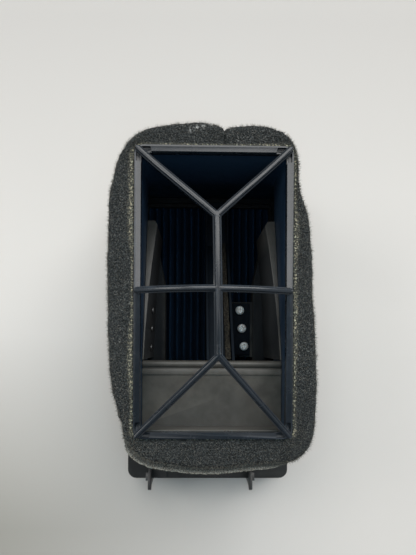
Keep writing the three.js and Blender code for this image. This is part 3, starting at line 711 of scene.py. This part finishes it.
# Lint caught on the back, in mm from the mouth's middle.
LINT_PLACES = [(-13, 90), (-10, 91.5), (-6.5, 92.5), (-1.5, 94)]
LINT_SIZE = 1.3 * MM


def tan_band(points, across):
    """The tan skin along the neck: widest and most broken beside the mouth's long sides."""
    beyond = (abs(points[:, 1] - MOUTH.y) - mouth_half()[1]) / (3 * MM)
    in_front = smoothstep(0.5, -0.5, (points[:, 1] - MOUTH.y + mouth_half()[1]) / (4 * MM))
    share = np.clip(1 - 0.5 * np.clip(beyond, 0, 1), 0.4, 1) * (1 - in_front) + 1e-3
    wander = 1 + 0.8 * smooth_noise(points, 45, 5)
    return smoothstep(1, 0.25, across / (TAN_WIDTH * share * wander))


def lint_share(points):
    """1 in the middle of each bit of lint, falling off round it."""
    flat = points[:, :2] - np.array(MOUTH.xy)
    share = np.zeros(len(points))
    for place in LINT_PLACES:
        away = np.hypot(*(flat - np.array(place) * MM).T) / LINT_SIZE
        share = np.maximum(share, np.exp(-(away**2)))
    return share


# Layers of unevenness: height, how fine it is, and its seed.
COLLAR_LAYERS = ((0.8 * MM, 38, 1), (0.45 * MM, 130, 2), (0.22 * MM, 620, 3))
STRIP_LAYERS = ((0.35 * MM, 160, 6), (0.3 * MM, 520, 7))
RAGGED, RAGGED_LIMIT = 0.12 * MM, 0.3 * MM
CREASE_DEPTH, CREASE_WIDTH = 1.5 * MM, 0.7 * MM
SET_BACK = 0.2 * MM


def layered_noise(points, layers):
    return sum(height * smooth_noise(points, scale, seed) for height, scale, seed in layers)


def collar_roughness(points):
    """How far each point stands out: dents, lumps, cells, ragged walls, the butt joint's crease."""
    rng = np.random.default_rng(RAGGED_SEED)
    ragged = rng.normal(0, RAGGED, len(points)).clip(-RAGGED_LIMIT, RAGGED_LIMIT)
    from_joint = (points[:, 0] - MOUTH.x - BUTT_JOINT.x) / CREASE_WIDTH
    behind = np.clip((points[:, 1] - MOUTH.y - mouth_half()[1]) / (2 * MM), 0, 1)
    crease = -CREASE_DEPTH * np.exp(-(from_joint**2)) * behind
    return layered_noise(points, COLLAR_LAYERS) + ragged + crease - SET_BACK


WHISKERS = 26000
WHISKER_ROOT = 0.25 * MM  # how far below the surface a torn wall starts
WHISKER_SHORT, WHISKER_SPREAD = 0.9, 1.9  # mm
WHISKER_RADII = (0.05, 0.13)  # mm
FRINGE_DEPTH = 0.8 * MM  # how far the side's solid foam lies inside the strip's nominal size
RIM_LIGHT_SHARE = 0.9  # how much of the painted rim light a torn wall takes


def whiskers(surface, normals, free, rng):
    """Torn cell walls that stand out of the foam: thin three-sided spikes rooted just under its surface."""
    depth = surface[:, 2].max() - surface[:, 2]
    crowd = (1.12 - abs(normals[:, 2])) * (0.35 + 2.5 * np.exp(-depth / (5 * MM)))
    weight = np.where((free > 0.9) & (normals[:, 2] > -0.6), crowd, 0)
    roots = rng.choice(len(surface), WHISKERS, p=weight / weight.sum())
    direction = normals[roots] + rng.normal(0, 0.5, (WHISKERS, 3))
    direction /= np.linalg.norm(direction, axis=1, keepdims=True)
    across = np.cross(direction, rng.normal(0, 1, (WHISKERS, 3)))
    across /= np.linalg.norm(across, axis=1, keepdims=True)
    third = np.cross(direction, across)
    base = surface[roots] - direction * WHISKER_ROOT
    length = (WHISKER_SHORT + WHISKER_SPREAD * rng.uniform(0, 1, (WHISKERS, 1)) ** 1.5) * MM
    thick = rng.uniform(*WHISKER_RADII, (WHISKERS, 1)) * MM
    corners = [base + thick * (math.cos(a) * across + math.sin(a) * third) for a in (0, 2.09, 4.19)]
    tips = base + direction * length
    points = np.stack([*corners, tips], axis=1).reshape(-1, 3)
    pattern = np.array([(0, 2, 1), (0, 1, 3), (1, 2, 3), (2, 0, 3)])
    faces = (np.arange(WHISKERS)[:, None, None] * 4 + pattern[None]).reshape(-1, 3)
    return points, faces


def up_share(points, top):
    """1 at the top of the strip, 0 from 4 mm below it."""
    return np.clip(1 - (top - points[..., 2].reshape(-1)) / (4 * MM), 0, 1)


def grid_normals(points):
    """Outward normals of a grid of points that closes both ways."""
    along = np.roll(points, -1, axis=0) - np.roll(points, 1, axis=0)
    around = np.roll(points, -1, axis=1) - np.roll(points, 1, axis=1)
    normals = np.cross(along, around)
    return -normals / np.maximum(np.linalg.norm(normals, axis=2, keepdims=True), 1e-12)


# ---------------------------------------------------------------- divider's foam strip


def strip_corners():
    """The strip's four corners seen from the side, in order round it, from the CAD solid."""
    points = np.array([v.co for v in NODES["divider_foam_strip"].data.vertices])
    side = np.unique(points[points[:, 0] < points[:, 0].mean()][:, 1:].round(6), axis=0)
    by_place = side[np.argsort(side[:, 0])]
    front, back = by_place[:2], by_place[2:]
    return [sorted(pair.tolist(), key=lambda p: p[1]) for pair in (front, back)]


STRIP_ROWS = 190
STRIP_SET_BACK, STRIP_RAGGED = 0.35 * MM, 0.16 * MM
STRIP_PROUD = 0.1 * MM  # the most that any place stands out of the CAD solid
STRIP_SIDES = [(0, 0, 5), (0, 1, 8), (1, 1, 5), (1, 0, 8)]  # each side's start across and up, and its steps


def strip_section():
    """Shares across and up, once round the strip's section."""
    loop = []
    for k, (x, up, steps) in enumerate(STRIP_SIDES):
        next_x, next_up, _ = STRIP_SIDES[(k + 1) % len(STRIP_SIDES)]
        loop += [(x + (next_x - x) * i / steps, up + (next_up - up) * i / steps) for i in range(steps)]
    return loop


def strip_rings(loop):
    """The section at every row from the strip's front end to its back end."""
    (front_low, front_high), (back_low, back_high) = strip_corners()
    low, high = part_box("divider_foam_strip")
    rings = []
    for t in np.linspace(0, 1, STRIP_ROWS):
        bottom = np.array(front_low) * (1 - t) + np.array(back_low) * t
        top = np.array(front_high) * (1 - t) + np.array(back_high) * t
        rings.append([(low.x + (high.x - low.x) * x, *(bottom + (top - bottom) * up)) for x, up in loop])
    return np.array(rings)


def build_divider_strip():
    """A cut strip of coarse brown foam standing on the divider's web, frayed along its top."""
    loop = strip_section()
    points = strip_rings(loop)
    outward = points - points.mean(axis=1, keepdims=True)
    outward[..., 0] *= 2
    outward /= np.linalg.norm(outward, axis=2, keepdims=True)
    flat = points.reshape(-1, 3)
    rng = np.random.default_rng(STRIP_SEED)
    rough = layered_noise(flat, STRIP_LAYERS)
    rough += rng.normal(-STRIP_SET_BACK, STRIP_RAGGED, len(flat))
    surface = flat + outward.reshape(-1, 3) * np.minimum(rough, STRIP_PROUD)[:, None]
    count = len(loop)
    last = (STRIP_ROWS - 1) * count
    faces = grid_faces(STRIP_ROWS, count)[:last].tolist()
    faces += [list(range(count))[::-1], list(range(last, last + count))]
    strip = new_piece("brown_foam_strip", surface, faces, "strip_foam", "housing")
    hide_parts("divider_foam_strip")


# ---------------------------------------------------------------- seals, pleats and screws

SEALS = {"flange_seal": "housing", "outlet_gasket": "housing", "filter_seal": "drawer"}
SEAL_ROUND = 0.45 * MM


def build_seal(node_name, body):
    """A seal pressed between two parts, with round edges."""
    source = NODES[node_name].data
    points = np.array([v.co for v in source.vertices])
    faces = [list(face.vertices) for face in source.polygons]
    seal = new_piece(f"soft_{node_name}", points, faces, "seal_rubber", body)
    round_edges(seal, SEAL_ROUND, 4)
    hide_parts(node_name)


PLEATS = 18
PLEAT_POINTS = 14
PLEAT_ROWS = 48
HALF_SHEET = 0.36 * MM
FOLD_SHARPNESS = 0.97  # 1 gives a zigzag, close to 0 a sine
FOLD_MARGIN = 1.1 * MM
PLEAT_WANDER = 0.25 * MM


def build_pleats():
    """The filter's pleated sheet: rounded folds that wander slightly along their length."""
    low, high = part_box("filter_media")
    turn = np.linspace(0, 2 * np.pi * PLEATS, PLEATS * PLEAT_POINTS + 1)
    rounded = np.arcsin(FOLD_SHARPNESS * np.sin(turn - np.pi / 2)) / np.arcsin(FOLD_SHARPNESS)
    x = np.linspace(low.x + HALF_SHEET, high.x - HALF_SHEET, len(turn))
    swing = (high.z - low.z) / 2 - FOLD_MARGIN
    skins = []
    for y in np.linspace(low.y, high.y, PLEAT_ROWS):
        wander = PLEAT_WANDER * np.sin(y * 46 + x * 130) * np.cos(y * 71 - x * 90)
        line = np.stack([x + wander * np.sin(turn / 2) ** 2, (low.z + high.z) / 2 + rounded * swing], axis=1)
        slope = np.gradient(line, axis=0)
        across = np.stack([-slope[:, 1], slope[:, 0]], axis=1)
        across *= HALF_SHEET / np.linalg.norm(across, axis=1, keepdims=True)
        loop = np.vstack([line + across, (line - across)[::-1]])
        loop[:, 0] = loop[:, 0].clip(low.x, high.x)
        skins.append(np.column_stack([loop[:, 0], np.full(len(loop), y), loop[:, 1]]))
    count = len(skins[0])
    last = (PLEAT_ROWS - 1) * count
    faces = [face[::-1] for face in grid_faces(PLEAT_ROWS, count)[:last].tolist()]
    half = count // 2
    for i in range(half - 1):  # both ends, cell by cell
        near, far = i, count - 1 - i
        faces.append([near, near + 1, far - 1, far])
        faces.append([last + far, last + far - 1, last + near + 1, last + near])
    media = new_piece("pleated_media", np.vstack(skins), faces, "filter_media", "drawer")
    for face in media.data.polygons:
        face.use_smooth = True
    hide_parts("filter_media")


HEAD_HEIGHTS = {"foot_screw": 2.4 * MM, "flange_screw": 2.2 * MM}
SCREW_SIDES = 48
THREAD_PITCH = 1.0 * MM
DOME_RINGS = 15
DOME_START = 0.42  # share of the head's height where its upright rim ends
DOME_RISE = 0.58
RECESS_DEPTH = 0.45  # share of the head's height


def screw_profile(radius, head, length):
    """Radius and height from the seat, from the tip up to the head's rim."""
    shank, pitch = 0.42 * radius, THREAD_PITCH
    turns = int(length / pitch) - 1
    rows = [(0, -length), (0.5 * shank, -length + 0.3 * MM)]
    for k in range(turns):
        start = -length + pitch * (k + 0.8)
        rows += [(0.82 * shank, start), (shank, start + 0.35 * pitch), (0.82 * shank, start + 0.7 * pitch)]
    rows += [(0.9 * shank, 0), (radius, 0), (radius, DOME_START * head)]
    return rows


def build_screw(node_name, slot, head):
    """A pan-head screw with a cross recess and a threaded shank."""
    low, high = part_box(node_name)
    radius = (high.x - low.x) / 2
    seat = high.z - head
    rows = screw_profile(radius, head, seat - low.z)
    for k in range(1, DOME_RINGS):
        share = 1 - k / DOME_RINGS
        rows.append((radius * share, head * (DOME_START + DOME_RISE * math.sqrt(1 - share**3.2))))
    rings = []
    for reach, up in rows:
        for k in range(SCREW_SIDES):
            angle = 2 * math.pi * k / SCREW_SIDES
            x, y = reach * math.cos(angle), reach * math.sin(angle)
            sunk = cross_recess(x / radius, y / radius) * RECESS_DEPTH * head if up > 0.5 * head else 0
            rings.append((x + (low.x + high.x) / 2, y + (low.y + high.y) / 2, seat + up - sunk))
    count = len(rows)
    faces = [
        [a * SCREW_SIDES + k, a * SCREW_SIDES + n, (a + 1) * SCREW_SIDES + n, (a + 1) * SCREW_SIDES + k]
        for a in range(count - 1)
        for k, n in ((k, (k + 1) % SCREW_SIDES) for k in range(SCREW_SIDES))
    ]
    top = (count - 1) * SCREW_SIDES
    faces.append(list(range(top, top + SCREW_SIDES)))
    finish = NODE_FINISH.get(node_name)
    screw = new_piece(f"turned_{node_name}", rings, faces, slot, "housing", finish)
    round_edges(screw, 0.08 * MM)
    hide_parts(node_name)


def cross_recess(x, y):
    """1 inside the four arms of a cross recess, falling to 0 past their sloped sides."""
    arm = lambda along, side: smoothstep(0.52, 0.42, abs(along)) * smoothstep(0.16, 0.08, abs(side))
    return max(arm(x, y), arm(y, x))


# ---------------------------------------------------------------- CAD parts


SHARP_ANGLE = math.radians(34)
FLAT_ANGLE = math.radians(0.6)
WELD_GAP = 0.01 * MM
EDGE_ROUND = 0.3 * MM
EDGE_WIDTHS = {"inlet_guard": 0.14 * MM}


def edge_finish():
    """Geometry nodes that shade a faceted solid smooth except across real edges."""
    tree = bpy.data.node_groups.new("edge_finish", "GeometryNodeTree")
    tree.interface.new_socket("Geometry", in_out="INPUT", socket_type="NodeSocketGeometry")
    tree.interface.new_socket("Geometry", in_out="OUTPUT", socket_type="NodeSocketGeometry")
    nodes, links = tree.nodes, tree.links
    start = nodes.new("NodeGroupInput")
    end = nodes.new("NodeGroupOutput")
    angle = nodes.new("GeometryNodeInputMeshEdgeAngle")
    sharp = nodes.new("FunctionNodeCompare")
    sharp.data_type = "FLOAT"
    sharp.operation = "GREATER_THAN"
    sharp.inputs["B"].default_value = SHARP_ANGLE
    faces = nodes.new("GeometryNodeSetShadeSmooth")
    edges = nodes.new("GeometryNodeSetShadeSmooth")
    edges.domain = "EDGE"
    edges.inputs["Shade Smooth"].default_value = False
    links.new(start.outputs[0], faces.inputs["Geometry"])
    links.new(angle.outputs["Unsigned Angle"], sharp.inputs["A"])
    links.new(faces.outputs[0], edges.inputs["Geometry"])
    links.new(sharp.outputs["Result"], edges.inputs["Selection"])
    links.new(edges.outputs[0], end.inputs[0])
    return tree


KEEPS_TRIANGLES = ("lower_housing",)  # its roof has too many openings to become one flat face


def round_edges(node, width, segments=2):
    """Rounds the real edges of a faceted solid and shades it smooth between them."""
    weld = node.modifiers.new("weld", "WELD")
    weld.merge_threshold = WELD_GAP
    if node.name not in KEEPS_TRIANGLES:
        flat = node.modifiers.new("flat", "DECIMATE")
        flat.decimate_type = "DISSOLVE"
        flat.angle_limit = FLAT_ANGLE
    bevel = node.modifiers.new("bevel", "BEVEL")
    bevel.width = width
    bevel.segments = segments
    bevel.limit_method = "ANGLE"
    bevel.angle_limit = SHARP_ANGLE
    bevel.use_clamp_overlap = True
    shade = node.modifiers.new("shade", "NODES")
    shade.node_group = EDGE_FINISH


EDGE_FINISH = edge_finish()
# Where a node's finish differs from the rest of its slot.
NODE_FINISH = {
    "upper_housing": "duct_plastic",
    "lower_housing": "bay_plastic",
    "centre_divider": "divider_plastic",
}
for number in (1, 2, 3):
    NODE_FINISH[f"foot_screw_{number}"] = "white_zinc"
    NODE_FINISH[f"guide_rivet_{number}"] = "dull_zinc"


def paint_nodes():
    """Gives every CAD node its finish, and round edges unless a mesh of its own takes its place."""
    for part in frame["record"]["subparts"]:
        node = NODES[part["node"]]
        node.data.materials.clear()
        node.data.materials.append(MATERIALS[NODE_FINISH.get(part["node"], part["material_slot"])])
        if part["node"] not in SOFT_NODES:
            round_edges(node, EDGE_WIDTHS.get(part["node"], EDGE_ROUND))


SOFT_NODES = ("inlet_foam_collar", "divider_foam_strip", "filter_media", *SEALS)


def replace_nodes():
    """Builds the pieces that stand in for a CAD node: foam, pleats, seals and screws."""
    build_collar()
    build_divider_strip()
    build_pleats()
    for name, body in SEALS.items():
        build_seal(name, body)
    for part in frame["record"]["subparts"]:
        kind = part["node"].rsplit("_", 1)[0]
        if kind in HEAD_HEIGHTS:
            build_screw(part["node"], part["material_slot"], HEAD_HEIGHTS[kind])


add_camera()
add_studio()
paint_nodes()
replace_nodes()
